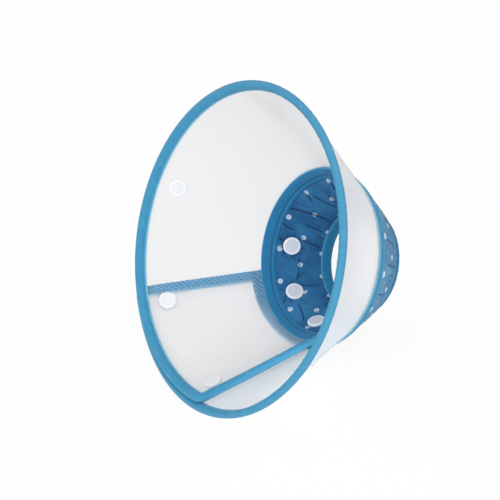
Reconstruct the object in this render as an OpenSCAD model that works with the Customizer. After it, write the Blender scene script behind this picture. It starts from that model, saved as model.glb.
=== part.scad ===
// Elizabethan collar for a small pet: a clear sheet rolled into a cone, with a padded neck band,
// bound edges and snap buttons. It lies on its side, on the lap of its two ends.

/* [Cone] */
// Diameter of the neck opening, inside the top panel
neck_d = 70; // [64:1:110]
// Depth of the collar along its wall, from rim edge to neck edge
wall_depth = 138.5; // [125:0.5:190]
// Angle between the wall and the axis of the cone
wall_angle = 33; // [28:0.5:36]
// Thickness of the clear sheet
sheet_t = 0.6; // [0.4:0.1:1]

/* [Lap] */
// Angle from the lowest line to the outer end, half way along the sheet
outer_end_angle = 29; // [25:1:36]
// Slant of the outer end against the straight line to the neck
outer_end_skew = 5; // [0:1:8]
// Angle from the lowest line to the inner end, half way along the sheet
inner_end_angle = 42; // [40:1:48]
// Slant of the inner end against the straight line to the neck
inner_end_skew = 14; // [0:1:16]
// Air left between the two layers of the lap where they come closest
lap_clearance = 0.4; // [0.3:0.05:1.5]

/* [Binding] */
// Width of the binding tape on each face
tape_w = 7.5; // [6:0.1:7.5]
// Thickness of the rolled binding at the rim and the neck
tape_t = 3.4; // [2.6:0.1:4]
// Thickness of the flat binding on the straight ends
end_tape_t = 2.4; // [1.8:0.1:3]
// Width of the seam tapes between sheet and neck band
seam_w = 9; // [7:0.5:12]

/* [Neck band] */
// Depth of the fabric band along the wall, from the seam tape to the neck edge
band_depth = 41; // [36:0.5:55]
// Thickness of the padded band at its crown
band_t = 3.4; // [3:0.1:6]
// Thickness of the padded band along its sewn edges
band_edge_t = 2.6; // [2.4:0.1:3]
// Thickness of the lining and of the cover
fabric_t = 0.5; // [0.3:0.1:0.8]

/* [Snaps] */
// Diameter of the snap caps
cap_d = 12.4; // [9:0.1:12.5]
// Thickness of the snap caps
cap_t = 1.6; // [1.2:0.1:2]
// Diameter of the sockets and of the stud bases
socket_d = 10.4; // [8.5:0.1:11]
// Height of the sockets
socket_h = 2; // [1.8:0.1:3]
// Diameter of the studs
stud_d = 4; // [3.2:0.1:5]
// Distance of the rim snaps from the rim edge, along the wall
rim_snap_depth = 20.5; // [17:0.5:26]
// Distance of the closed snaps from the outer end, along the lap
snap_inset = 14.4; // [14.2:0.1:18]
// Angle between neighbouring rim snaps
rim_snap_pitch = 48.5; // [40:0.5:49]
// Angle between neighbouring neck snaps
neck_snap_pitch = 40.5; // [32:0.5:41]

/* [Hidden] */
$fn = 48;
// gap between pieces that are sewn or pressed together
fit = 0.05;
// side play of a stud in its socket, and the gap between socket and stud base
stud_play = 0.12;
snap_gap = 0.15;
// depth that a stud reaches into its socket, and thickness of the socket floor
stud_reach = 1;
socket_floor = 0.7;
post_d = 2.6;
// reach of a post past the layer that its snap clamps, and the air at its end
post_reach = 0.4;
post_gap = 0.2;
cap_edge_t = 0.8;
cap_bevel = 0.2;
// neck snaps: distance from the middle of the band toward the rim, and extra distance from the end
neck_snap_offset = 5;
neck_snap_inset = 5.6;
// thickness of the band where a snap clamps it, and the space around a snap in the band
neck_grip = 0.8;
pocket_gap = 0.2;
// depth of the flat land that the neck opening cuts in the neck tape
land_cut = 1.2;
// angle left open between the panels at each living hinge
hinge_gap = 0.6;
// angle that the plain sweeps run on past their ends, before the slanted ends are cut
outer_overrun = 14;
inner_overrun = 26;
// distance from the fold of the binding to the edge that it holds, on the sheet and at the neck
fold = 1.2;
neck_fold = 2.6;
// thickness of the binding's open edges, and the part of its width at which they start to thin
tape_lip = 0.6;
tape_shoulder = 0.55;

tape_h = tape_t / 2;
sheet_h = sheet_t / 2;
neck_r = neck_d / 2;
neck_wall_r = neck_r - land_cut + tape_h * (1 - sin(wall_angle));
rim_r = neck_wall_r + wall_depth * sin(wall_angle);
seam_end = wall_depth - band_depth;
seam_start = seam_end - seam_w;
sheet_end = seam_start + seam_w / 2;
sheet_mid = sheet_end / 2;
band_start = seam_end + fit;
band_end = wall_depth - tape_w - fit;
band_mid = (band_start + band_end) / 2;
neck_snap_depth = band_mid - neck_snap_offset;

// the snaps hold the two layers of the lap this far apart, middle to middle
lap_pitch = max(
    max(band_t, tape_t) + lap_clearance,
    max(band_t, neck_grip) / 2 + neck_grip / 2 + socket_h + lap_clearance
);
// a two-centre spiral: the lap's layers share one centre, their radii differ by twice this step
spiral = lap_pitch / cos(wall_angle) / 2;
lap_slide = lap_pitch * tan(wall_angle);

// each panel: first angle, last angle, change of radius, shift of centre
OUTER = [-90 + hinge_gap / 2, outer_end_angle + outer_overrun, spiral, spiral];
CROWN = [90 + hinge_gap / 2, 270 - hinge_gap / 2, 0, 0];
INNER = [-inner_end_angle - inner_overrun, 90 - hinge_gap / 2, -spiral, spiral];

outer_band_angle = end_angle(OUTER, outer_end_angle, -outer_end_skew, seam_end);
inner_band_angle = end_angle(INNER, -inner_end_angle, inner_end_skew, seam_end);
OUTER_BAND = [OUTER[0], outer_band_angle, OUTER[2], OUTER[3]];
INNER_BAND = [inner_band_angle, INNER[1], INNER[2], INNER[3]];

rim_snap_angle = end_angle(OUTER, outer_end_angle, -outer_end_skew, rim_snap_depth + lap_slide)
    - degrees(snap_inset / (wall_r(rim_snap_depth + lap_slide) + spiral));
neck_snap_angle = outer_band_angle
    - degrees((snap_inset + neck_snap_inset) / (wall_r(neck_snap_depth + lap_slide) + spiral));
RIM_SNAPS = [for (i = [-1:1]) rim_snap_angle + i * rim_snap_pitch];
NECK_SNAPS = [for (i = [-1:1]) neck_snap_angle + i * neck_snap_pitch];
// the flat rim snaps stand off the hollow side of the curved sheet by this much
rim_cap_rise = sag(INNER, rim_snap_depth, cap_d);
rim_stud_rise = sag(OUTER, rim_snap_depth + lap_slide, socket_d);

REACH = 160;

SHEET_COLOUR = [0.93, 0.94, 0.95, 0.6];
TAPE_COLOUR = [0.27, 0.58, 0.78];
SEAM_COLOUR = [0.2, 0.47, 0.7];
LINING_COLOUR = [0.23, 0.47, 0.65];
COVER_COLOUR = [0.4, 0.6, 0.7];
PADDING_COLOUR = [0.9, 0.9, 0.88];
SNAP_COLOUR = [0.96, 0.96, 0.97];

// radius and height of a place on the wall, s along it from the rim and n outward from its middle
function wall_r(s, n = 0) = rim_r - s * sin(wall_angle) + n * cos(wall_angle);
function wall_z(s, n = 0) = s * cos(wall_angle) + n * sin(wall_angle);
function degrees(turn) = turn * 180 / PI;

// angle at which a slanted end crosses the wall at depth s
function end_angle(panel, angle, skew, s) =
    let (
        r = wall_r(s) + panel[2],
        r_mid = wall_r(sheet_mid) + panel[2],
        lean = atan2(sin(skew) * sin(wall_angle), cos(skew)),
        size = r * norm([cos(skew), sin(skew) * sin(wall_angle)]),
        drop = sin(wall_angle) * r_mid + cos(wall_angle) * (wall_z(s) - wall_z(sheet_mid))
    )
    angle + lean - asin(sin(skew) * drop / size);

// rise of the curved wall at the edge of a flat disc that lies in it
function sag(panel, s, d) = d * d * cos(wall_angle) / 8 / (wall_r(s) + panel[2]);

// half thickness of the padded band at depth s
function puff(s) =
    (band_edge_t + (band_t - band_edge_t) * sin(180 * (s - band_start) / (band_end - band_start))) / 2;
function band_steps() = [for (i = [0:10]) band_start + (band_end - band_start) * i / 10];
function backward(list) = [for (i = [len(list) - 1:-1:0]) list[i]];

// outline of a flat strip with rounded edges
function strip(s0, s1, n0, n1) =
    let (r = 0.4 * abs(n1 - n0))
    [
        [s0 + r, n0], [s0 + 0.3 * r, n0 + 0.3 * r], [s0, n0 + r],
        [s0, n1 - r], [s0 + 0.3 * r, n1 - 0.3 * r], [s0 + r, n1],
        [s1 - r, n1], [s1 - 0.3 * r, n1 - 0.3 * r], [s1, n1 - r],
        [s1, n0 + r], [s1 - 0.3 * r, n0 + 0.3 * r], [s1 - r, n0]
    ];

// outline of a tape folded over an edge, d measured from the fold, open to the held edge
function folded_tape(slot_h, slot_d) =
    concat(
        [[tape_w, -slot_h], [tape_w, -slot_h - tape_lip], [tape_w * tape_shoulder, -tape_h]],
        [for (i = [0:10]) [tape_h - tape_h * sin(18 * i), -tape_h * cos(18 * i)]],
        [[tape_w * tape_shoulder, tape_h], [tape_w, slot_h + tape_lip], [tape_w, slot_h]],
        [[slot_d, slot_h], [slot_d, -slot_h]]
    );

// a panel of the wall: an outline of [s, n] places swept around the panel's own centre
module sweep(panel, outline)
{
    places = [for (p = outline) [wall_r(p[0], p[1]) + panel[2], wall_z(p[0], p[1])]];
    translate([0, panel[3], 0])
    rotate([0, 0, panel[0]])
    rotate_extrude(angle = panel[1] - panel[0])
    polygon(places);
}

// local frame on a panel: x toward the rim, y around the wall, z outward
module on_wall(panel, angle, s)
{
    translate([0, panel[3], 0])
    rotate([0, 0, angle])
    translate([wall_r(s) + panel[2], 0, wall_z(s)])
    rotate([0, 90 - wall_angle, 0])
    children();
}

// everything between two lines parallel to an end, measured inward from it
module outer_strip(first, last)
{
    on_wall(OUTER, outer_end_angle, sheet_mid)
    rotate([0, 0, -outer_end_skew])
    translate([-REACH, -last, -REACH])
    cube([2 * REACH, last - first, 2 * REACH]);
}

module inner_strip(first, last)
{
    on_wall(INNER, -inner_end_angle, sheet_mid)
    rotate([0, 0, inner_end_skew])
    translate([-REACH, first, -REACH])
    cube([2 * REACH, last - first, 2 * REACH]);
}

module outer_band_strip(first, last)
{
    on_wall(OUTER, outer_band_angle, band_mid)
    translate([-REACH, -last, -REACH / 8])
    cube([2 * REACH, last - first, REACH / 4]);
}

module inner_band_strip(first, last)
{
    on_wall(INNER, inner_band_angle, band_mid)
    translate([-REACH, first, -REACH / 8])
    cube([2 * REACH, last - first, REACH / 4]);
}

// plain sweeps of each layer
module sheet(panel)
{
    sweep(panel, [
        [fold + fit, -sheet_h], [fold + fit, sheet_h], [sheet_end, sheet_h], [sheet_end, -sheet_h]
    ]);
}

module rim_tape(panel)
{
    sweep(panel, folded_tape(sheet_h + fit, fold));
}

module neck_tape(panel)
{
    tape = folded_tape(neck_grip / 2 + fit, neck_fold);
    difference()
    {
        sweep(panel, backward([for (p = tape) [wall_depth - p[0], p[1]]]));
        translate([0, panel[3], -1])
        cylinder(r = neck_r + panel[2], h = wall_depth * 2, $fn = 180);
    }
}

module seam_tape_inside(panel)
{
    sweep(panel, strip(seam_start, seam_end, -tape_h, -sheet_h - fit));
}

module seam_tape_outside(panel)
{
    sweep(panel, strip(seam_start, seam_end, sheet_h + fit, tape_h));
}

module lining(panel)
{
    steps = band_steps();
    sweep(panel, concat(
        [for (s = steps) [s, -puff(s)]],
        [for (s = backward(steps)) [s, fabric_t - puff(s)]]
    ));
}

module cover(panel)
{
    steps = band_steps();
    sweep(panel, concat(
        [for (s = steps) [s, puff(s) - fabric_t]],
        [for (s = backward(steps)) [s, puff(s)]]
    ));
}

module padding(panel)
{
    steps = band_steps();
    inset = fabric_t + fit;
    sweep(panel, concat(
        [[sheet_end + fit, -sheet_h], [band_start, -sheet_h]],
        [for (s = steps) [s, inset - puff(s)]],
        [[band_end, -neck_grip / 2], [wall_depth - neck_fold - fit, -neck_grip / 2]],
        [[wall_depth - neck_fold - fit, neck_grip / 2], [band_end, neck_grip / 2]],
        [for (s = backward(steps)) [s, puff(s) - inset]],
        [[band_start, sheet_h], [sheet_end + fit, sheet_h]]
    ));
}

// tape folded over a straight end of the sheet
module end_tape(panel)
{
    h = end_tape_t / 2;
    sweep(panel, strip(tape_w + fit, seam_start - fit, -h, h));
}

module end_slot(panel)
{
    h = sheet_h + fit;
    sweep(panel, [[0, -h], [0, h], [wall_depth, h], [wall_depth, -h]]);
}

module band_end_tape(panel)
{
    h = band_edge_t / 2;
    sweep(panel, strip(band_start, band_end, -h, h));
}

// snap pieces, z outward from the middle of the clamped layer
module cap(grip)
{
    r = cap_d / 2;
    rise = cap_t - cap_edge_t;
    translate([0, 0, grip / 2])
    rotate_extrude()
    polygon(concat(
        [[0, 0], [r - cap_bevel, 0], [r, cap_bevel], [r, cap_edge_t]],
        [for (i = [1:6]) [r * cos(15 * i), cap_edge_t + rise * sin(15 * i)]]
    ));
    translate([0, 0, -grip / 2 - post_reach])
    cylinder(d = post_d, h = grip + post_reach + cap_bevel);
}

module socket(grip)
{
    translate([0, 0, grip / 2 + fit])
    difference()
    {
        cylinder(d = socket_d, h = socket_h - fit);
        translate([0, 0, socket_floor])
        cylinder(d = stud_d + 2 * stud_play, h = socket_h);
        translate([0, 0, -1])
        cylinder(d = post_d + 2 * fit, h = socket_h + 2);
    }
}

// the stud base fills the space between its own layer and the closed socket
module stud(grip, rise)
{
    base_t = lap_pitch - grip - socket_h - snap_gap;
    nub = snap_gap + stud_reach;
    translate([0, 0, -grip / 2 - base_t])
    difference()
    {
        union()
        {
            cylinder(d = socket_d, h = base_t - fit - rise);
            translate([0, 0, -nub])
            cylinder(d = stud_d, h = nub + base_t / 2);
        }
        translate([0, 0, base_t - post_reach - post_gap])
        cylinder(d = post_d + 2 * fit, h = base_t);
    }
}

// hole for a snap's post, and the space that a snap takes in the padded band
module post_hole()
{
    translate([0, 0, -REACH / 16])
    cylinder(d = post_d + 2 * fit, h = REACH / 8);
}

module snap_pocket(d_inside, d_outside)
{
    depth = REACH / 16;
    translate([0, 0, -depth])
    cylinder(d = d_inside + 2 * pocket_gap, h = depth - neck_grip / 2);
    translate([0, 0, neck_grip / 2])
    cylinder(d = d_outside + 2 * pocket_gap, h = depth);
    post_hole();
}

module outer_band_pockets()
{
    on_wall(OUTER, neck_snap_angle, neck_snap_depth + lap_slide)
    snap_pocket(socket_d, cap_d);
}

module inner_band_pockets()
{
    for (angle = NECK_SNAPS)
        on_wall(INNER, angle, neck_snap_depth)
        snap_pocket(cap_d, socket_d);
}

// the band's layers on the two lapped panels, ending at their end tapes
module outer_band()
{
    difference()
    {
        children();
        outer_band_strip(-REACH / 4, tape_w + fit);
        outer_band_pockets();
    }
}

module inner_band()
{
    difference()
    {
        children();
        inner_band_strip(-REACH / 4, tape_w + fit);
        inner_band_pockets();
    }
}

// lay the collar on its side: cone axis from rim to neck along +Y and down, lowest line on the floor
module lay()
{
    rest_r = rim_r + spiral;
    front = -rest_r * sin(wall_angle);
    back = rim_r * sin(wall_angle) + (wall_depth - tape_h) * cos(2 * wall_angle) + tape_h;
    low = max(tape_h, band_t / 2);
    translate([0, -(front + back) / 2, rest_r * cos(wall_angle) + low])
    rotate([-90 - wall_angle, 0, 0])
    rotate([0, 0, 90])
    children();
}

module outer_sheet()
{
    color(SHEET_COLOUR)
    lay()
    difference()
    {
        sheet(OUTER);
        outer_strip(-REACH, fold);
        on_wall(OUTER, rim_snap_angle, rim_snap_depth + lap_slide)
        post_hole();
    }
}

module outer_rim_tape()
{
    color(TAPE_COLOUR)
    lay()
    difference()
    {
        rim_tape(OUTER);
        outer_strip(-REACH, 0);
    }
}

module outer_end_tape()
{
    color(TAPE_COLOUR)
    lay()
    difference()
    {
        intersection()
        {
            end_tape(OUTER);
            outer_strip(0, tape_w);
        }
        intersection()
        {
            end_slot(OUTER);
            outer_strip(fold - fit, tape_w + 1);
        }
    }
}

module outer_seam_tape_inside()
{
    color(SEAM_COLOUR)
    lay()
    seam_tape_inside(OUTER_BAND);
}

module outer_seam_tape_outside()
{
    color(SEAM_COLOUR)
    lay()
    seam_tape_outside(OUTER_BAND);
}

module outer_band_lining()
{
    color(LINING_COLOUR)
    lay()
    outer_band()
    lining(OUTER_BAND);
}

module outer_band_padding()
{
    color(PADDING_COLOUR)
    lay()
    outer_band()
    padding(OUTER_BAND);
}

module outer_band_cover()
{
    color(COVER_COLOUR)
    lay()
    outer_band()
    cover(OUTER_BAND);
}

module outer_band_end_tape()
{
    color(TAPE_COLOUR)
    lay()
    intersection()
    {
        band_end_tape(OUTER_BAND);
        outer_band_strip(0, tape_w);
    }
}

module outer_neck_tape()
{
    color(TAPE_COLOUR)
    lay()
    neck_tape(OUTER_BAND);
}

module rim_stud()
{
    color(SNAP_COLOUR)
    lay()
    on_wall(OUTER, rim_snap_angle, rim_snap_depth + lap_slide)
    stud(sheet_t, rim_stud_rise);
}

module rim_stud_cap()
{
    color(SNAP_COLOUR)
    lay()
    on_wall(OUTER, rim_snap_angle, rim_snap_depth + lap_slide)
    cap(sheet_t + 2 * fit);
}

module neck_stud()
{
    color(SNAP_COLOUR)
    lay()
    on_wall(OUTER, neck_snap_angle, neck_snap_depth + lap_slide)
    stud(neck_grip, 0);
}

module neck_stud_cap()
{
    color(SNAP_COLOUR)
    lay()
    on_wall(OUTER, neck_snap_angle, neck_snap_depth + lap_slide)
    cap(neck_grip + 2 * fit);
}

module crown_sheet()
{
    color(SHEET_COLOUR)
    lay()
    sheet(CROWN);
}

module crown_rim_tape()
{
    color(TAPE_COLOUR)
    lay()
    rim_tape(CROWN);
}

module crown_seam_tape_inside()
{
    color(SEAM_COLOUR)
    lay()
    seam_tape_inside(CROWN);
}

module crown_seam_tape_outside()
{
    color(SEAM_COLOUR)
    lay()
    seam_tape_outside(CROWN);
}

module crown_band_lining()
{
    color(LINING_COLOUR)
    lay()
    lining(CROWN);
}

module crown_band_padding()
{
    color(PADDING_COLOUR)
    lay()
    padding(CROWN);
}

module crown_band_cover()
{
    color(COVER_COLOUR)
    lay()
    cover(CROWN);
}

module crown_neck_tape()
{
    color(TAPE_COLOUR)
    lay()
    neck_tape(CROWN);
}

module inner_sheet()
{
    color(SHEET_COLOUR)
    lay()
    difference()
    {
        sheet(INNER);
        inner_strip(-REACH, fold);
        for (angle = RIM_SNAPS)
            on_wall(INNER, angle, rim_snap_depth)
            post_hole();
    }
}

module inner_rim_tape()
{
    color(TAPE_COLOUR)
    lay()
    difference()
    {
        rim_tape(INNER);
        inner_strip(-REACH, 0);
    }
}

module inner_end_tape()
{
    color(TAPE_COLOUR)
    lay()
    difference()
    {
        intersection()
        {
            end_tape(INNER);
            inner_strip(0, tape_w);
        }
        intersection()
        {
            end_slot(INNER);
            inner_strip(fold - fit, tape_w + 1);
        }
    }
}

module inner_seam_tape_inside()
{
    color(SEAM_COLOUR)
    lay()
    seam_tape_inside(INNER_BAND);
}

module inner_seam_tape_outside()
{
    color(SEAM_COLOUR)
    lay()
    seam_tape_outside(INNER_BAND);
}

module inner_band_lining()
{
    color(LINING_COLOUR)
    lay()
    inner_band()
    lining(INNER_BAND);
}

module inner_band_padding()
{
    color(PADDING_COLOUR)
    lay()
    inner_band()
    padding(INNER_BAND);
}

module inner_band_cover()
{
    color(COVER_COLOUR)
    lay()
    inner_band()
    cover(INNER_BAND);
}

module inner_band_end_tape()
{
    color(TAPE_COLOUR)
    lay()
    intersection()
    {
        band_end_tape(INNER_BAND);
        inner_band_strip(0, tape_w);
    }
}

module inner_neck_tape()
{
    color(TAPE_COLOUR)
    lay()
    neck_tape(INNER_BAND);
}

module rim_snap_caps()
{
    color(SNAP_COLOUR)
    lay()
    for (angle = RIM_SNAPS)
        on_wall(INNER, angle, rim_snap_depth)
        rotate([180, 0, 0])
        cap(sheet_t + 2 * (fit + rim_cap_rise));
}

module rim_snap_sockets()
{
    color(SNAP_COLOUR)
    lay()
    for (angle = RIM_SNAPS)
        on_wall(INNER, angle, rim_snap_depth)
        socket(sheet_t);
}

module neck_snap_caps()
{
    color(SNAP_COLOUR)
    lay()
    for (angle = NECK_SNAPS)
        on_wall(INNER, angle, neck_snap_depth)
        rotate([180, 0, 0])
        cap(neck_grip + 2 * fit);
}

module neck_snap_sockets()
{
    color(SNAP_COLOUR)
    lay()
    for (angle = NECK_SNAPS)
        on_wall(INNER, angle, neck_snap_depth)
        socket(neck_grip);
}

outer_sheet();
outer_rim_tape();
outer_end_tape();
outer_seam_tape_inside();
outer_seam_tape_outside();
outer_band_lining();
outer_band_padding();
outer_band_cover();
outer_band_end_tape();
outer_neck_tape();
rim_stud();
rim_stud_cap();
neck_stud();
neck_stud_cap();
crown_sheet();
crown_rim_tape();
crown_seam_tape_inside();
crown_seam_tape_outside();
crown_band_lining();
crown_band_padding();
crown_band_cover();
crown_neck_tape();
inner_sheet();
inner_rim_tape();
inner_end_tape();
inner_seam_tape_inside();
inner_seam_tape_outside();
inner_band_lining();
inner_band_padding();
inner_band_cover();
inner_band_end_tape();
inner_neck_tape();
rim_snap_caps();
rim_snap_sockets();
neck_snap_caps();
neck_snap_sockets();
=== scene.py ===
import math

import bmesh
import bpy
import numpy as np
from mathutils import Matrix, Vector


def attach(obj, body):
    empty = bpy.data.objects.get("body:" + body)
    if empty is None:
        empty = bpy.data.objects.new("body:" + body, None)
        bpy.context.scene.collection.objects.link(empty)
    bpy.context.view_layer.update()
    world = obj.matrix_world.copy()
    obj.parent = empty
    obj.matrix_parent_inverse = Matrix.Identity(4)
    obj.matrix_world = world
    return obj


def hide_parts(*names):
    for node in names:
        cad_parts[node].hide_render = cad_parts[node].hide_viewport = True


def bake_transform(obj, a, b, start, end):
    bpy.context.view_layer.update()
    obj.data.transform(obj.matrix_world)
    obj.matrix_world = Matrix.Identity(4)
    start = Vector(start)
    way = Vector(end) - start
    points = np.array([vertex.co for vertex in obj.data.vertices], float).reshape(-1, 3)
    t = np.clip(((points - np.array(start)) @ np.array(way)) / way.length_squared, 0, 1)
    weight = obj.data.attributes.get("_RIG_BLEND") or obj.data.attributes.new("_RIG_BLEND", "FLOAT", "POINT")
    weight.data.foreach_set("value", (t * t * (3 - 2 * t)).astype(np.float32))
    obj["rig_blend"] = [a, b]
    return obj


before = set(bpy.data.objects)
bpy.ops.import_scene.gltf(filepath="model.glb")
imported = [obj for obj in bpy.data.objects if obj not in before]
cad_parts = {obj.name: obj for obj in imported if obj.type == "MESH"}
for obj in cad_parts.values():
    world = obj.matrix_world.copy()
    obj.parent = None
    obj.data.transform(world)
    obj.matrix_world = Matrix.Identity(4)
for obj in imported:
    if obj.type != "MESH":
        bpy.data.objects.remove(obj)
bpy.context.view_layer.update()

# Sizes of the collar, in millimetres, as the solids have them
MM = 0.001
WALL_ANGLE = math.radians(33)
SIN = math.sin(WALL_ANGLE)
COS = math.cos(WALL_ANGLE)
NECK_D = 70
WALL_DEPTH = 138.5
SHEET_T = 0.6
TAPE_W = 7.5
TAPE_T = 3.4
SEAM_W = 9
BAND_DEPTH = 41
BAND_T = 3.4
FOLD = 1.2
NECK_FOLD = 2.6
NECK_GRIP = 0.8
LAND_CUT = 1.2
FIT = 0.05
LAP_PITCH = 4.5
OUTER_END = (29, -5)
INNER_END = (-42, 14)

# Snaps
CAP_D = 12.4
CAP_T = 1.6
STUD_CAP_T = 1.2
POST_D = 2.6
POST_REACH = 0.4
SNAP_INSET = 14.4
NECK_SNAP_INSET = 5.6
RIM_SNAP_DEPTH = 20.5
NECK_SNAP_OFFSET = 5
RIM_SNAP_PITCH = 48.5
NECK_SNAP_PITCH = 40.5

NECK_R = NECK_D / 2
TAPE_H = TAPE_T / 2
NECK_WALL_R = NECK_R - LAND_CUT + TAPE_H * (1 - SIN)
RIM_R = NECK_WALL_R + WALL_DEPTH * SIN
SEAM_END = WALL_DEPTH - BAND_DEPTH
SEAM_START = SEAM_END - SEAM_W
SHEET_END = SEAM_START + SEAM_W / 2
SHEET_MID = SHEET_END / 2
BAND_START = SEAM_END + FIT
BAND_END = WALL_DEPTH - TAPE_W - FIT
BAND_MID = (BAND_START + BAND_END) / 2
NECK_SNAP_DEPTH = BAND_MID - NECK_SNAP_OFFSET
SPIRAL = LAP_PITCH / COS / 2
LAP_SLIDE = LAP_PITCH * math.tan(WALL_ANGLE)

# The collar lies on its lap: where its rim's centre is, and which way is up across its axis
REST_R = RIM_R + SPIRAL
FRONT = -REST_R * SIN
BACK = RIM_R * SIN + (WALL_DEPTH - TAPE_H) * math.cos(2 * WALL_ANGLE) + TAPE_H
RIM_CENTRE = (0, -(FRONT + BACK) / 2, REST_R * COS + TAPE_H)
UP = Vector((0, SIN, COS))
BEND_HALF = 32

# The wall is one strip: its angle runs from the outer end over the top to the inner end
TOP = -180
FIRST_HINGE = -90
LAST_HINGE = -270
TURN = -360

# The outer flap's rim draws back a little toward its end, where the lap pulls on it
RIM_DRAW = 3.0
RIM_DRAW_TURNS = (-50, 20)

# Angles over which the outer layer comes to lie on the inner one
LAP_TURNS = (-75, -52)


def smooth(x, start, end):
    x = np.clip((np.asarray(x, float) - start) / (end - start), 0, 1)
    return x * x * (3 - 2 * x)


def wall_r(s, n=0):
    """Radius of a place on the wall: s along it from the rim, n outward from its middle."""
    return RIM_R - s * SIN + n * COS


def wall_z(s, n=0):
    return s * COS + n * SIN


def lift(t):
    """How far the spiral moves a layer out or in at angle t."""
    return np.where(t > FIRST_HINGE, SPIRAL, np.where(t < LAST_HINGE, -SPIRAL, 0.0))


def wall(t, s, n=0.0):
    """Places on the wall, in metres, from angles in degrees, depths and offsets."""
    t, s, n = np.broadcast_arrays(*(np.asarray(v, float) for v in (t, s, n)))
    s = s + RIM_DRAW * smooth(t, *RIM_DRAW_TURNS) * np.clip(1 - s / RIM_SNAP_DEPTH, 0, 1)
    shift = np.where((t > FIRST_HINGE) | (t < LAST_HINGE), SPIRAL, 0.0)
    r = wall_r(s, n) + lift(t)
    x = r * np.cos(np.radians(t))
    y = r * np.sin(np.radians(t)) + shift
    z = wall_z(s, n)
    places = np.stack([-y, COS * z - SIN * x, -COS * x - SIN * z], -1)
    return (places + np.array(RIM_CENTRE)) * MM


# The two halves of the strip, which meet at the top line
HALVES = {
    "outer": dict(lift=SPIRAL, end=OUTER_END, way=1, turn=0, bodies=("outer_wing", "crown")),
    "inner": dict(lift=-SPIRAL, end=INNER_END, way=-1, turn=TURN, bodies=("crown", "inner_wing")),
}


def plane_turn(half, s, inward):
    """Angle at which the line that lies inward of a half's slanted end crosses depth s."""
    angle, skew = half["end"]
    k = math.radians(skew)
    r = wall_r(s) + half["lift"]
    r_mid = wall_r(SHEET_MID) + half["lift"]
    lean = math.atan2(math.sin(k) * SIN, math.cos(k))
    size = r * math.hypot(math.cos(k), math.sin(k) * SIN)
    drop = math.sin(k) * (SIN * r_mid + COS * (wall_z(s) - wall_z(SHEET_MID)))
    turn = lean - np.arcsin((drop + half["way"] * inward) / size)
    return angle + half["turn"] + np.degrees(turn)


def edge_turn(half, s, inward=0.0):
    """Angle of the line inward of a half's end: slanted on the sheet, straight on the neck band."""
    s = np.asarray(s, float)
    slanted = plane_turn(half, np.minimum(s, SEAM_END), inward)
    on_band = plane_turn(half, SEAM_END, 0.0) - half["way"] * np.degrees(
        np.arcsin(inward / (wall_r(s) + half["lift"]))
    )
    share = np.clip((s - SEAM_END + SEAM_W) / SEAM_W, 0, 1)
    return slanted * (1 - share) + on_band * share


# Mesh building: angles past which an edge stays sharp on tapes and film, on puffed fabric and on caps

SHARP_TAPE = 50
SHARP_FABRIC = 80
SHARP_CAP = 40


def link(name, data):
    obj = bpy.data.objects.new(name, data)
    bpy.context.scene.collection.objects.link(obj)
    return obj


def above_floor(places):
    """The same places, with what would sink below the floor laid on it."""
    return np.concatenate([places[..., :2], np.maximum(places[..., 2:], 0)], -1)


def finish_mesh(mesh, sharp_angle):
    """Turns the faces outward and shades them smooth, apart from sharp folds."""
    bm = bmesh.new()
    bm.from_mesh(mesh)
    bmesh.ops.recalc_face_normals(bm, faces=bm.faces)
    bm.to_mesh(mesh)
    bm.free()
    mesh.polygons.foreach_set("use_smooth", np.ones(len(mesh.polygons), bool))
    mesh.set_sharp_from_angle(angle=math.radians(sharp_angle))


def build(name, places, polygons, corner_uv, sharp_angle):
    """A piece from its places, its faces, and a map in millimetres with a pair for each face corner."""
    mesh = bpy.data.meshes.new(name)
    mesh.from_pydata(places.reshape(-1, 3).tolist(), [], polygons)
    layer = mesh.uv_layers.new(name="metric")
    layer.data.foreach_set("uv", corner_uv.astype(np.float32).ravel())
    finish_mesh(mesh, sharp_angle)
    return link(name, mesh)


def quads(rows, cols):
    """Rows and columns of the four corners of each face of a grid."""
    j, i = np.meshgrid(np.arange(rows), np.arange(cols), indexing="ij")
    return [(j, i), (j + 1, i), (j + 1, i + 1), (j, i + 1)]


def tube(name, places, uv, closed_end, sharp_angle=SHARP_TAPE):
    """A closed outline swept along a path, with a face over its outline at the column closed_end.

    places is outline x path, and uv has one more outline row.
    """
    rows, cols = places.shape[:2]
    corners = quads(rows, cols - 1)
    faces = np.stack([(j % rows) * cols + i for j, i in corners], -1).reshape(-1, 4)
    corner_uv = np.stack([uv[j, i] for j, i in corners], 2).reshape(-1, 2)
    polygons = faces.tolist() + [[row * cols + closed_end for row in range(rows)]]
    corner_uv = np.concatenate([corner_uv, uv[:rows, closed_end]])
    return build(name, places, polygons, corner_uv, sharp_angle)


def carry(obj, name, values):
    """Keeps one value for each point of a piece, for its material."""
    layer = obj.data.attributes.new(name, "FLOAT", "POINT")
    layer.data.foreach_set("value", np.asarray(values, np.float32).ravel())


def lengths(places):
    """Distance along a line of places."""
    return np.hstack([0, np.cumsum(np.linalg.norm(np.diff(places, axis=0), axis=1))])


def path_uv(places, across):
    """Metric map: distance along the path and across the outline."""
    u = lengths(places[len(across) // 2]) / MM
    v = np.append(across, across[-1] + 1)
    return np.stack(np.meshgrid(u, v), -1)


def arc(centre, radius, start, end, steps):
    turn = np.radians(np.linspace(start, end, steps))
    return np.stack([centre[0] + radius[0] * np.cos(turn), centre[1] + radius[1] * np.sin(turn)], -1)


# Outlines. A folded tape spreads a little past its solid, thins toward its edges, and is sewn near them.

SPREAD_W = 7.9
CORNER_R = 7.0
STITCH_INSET = 1.7
NOSE_D = 2.4
NOSE_ROWS = 7
FACE_ROWS = 15
THINNING = 0.45
THIN_FROM = 0.4
GROOVE_DEPTH = 0.35
GROOVE_W = 0.6
LIP_DROP = 0.5
LIP_W = 0.7
WEAVE_T = 0.15


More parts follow.
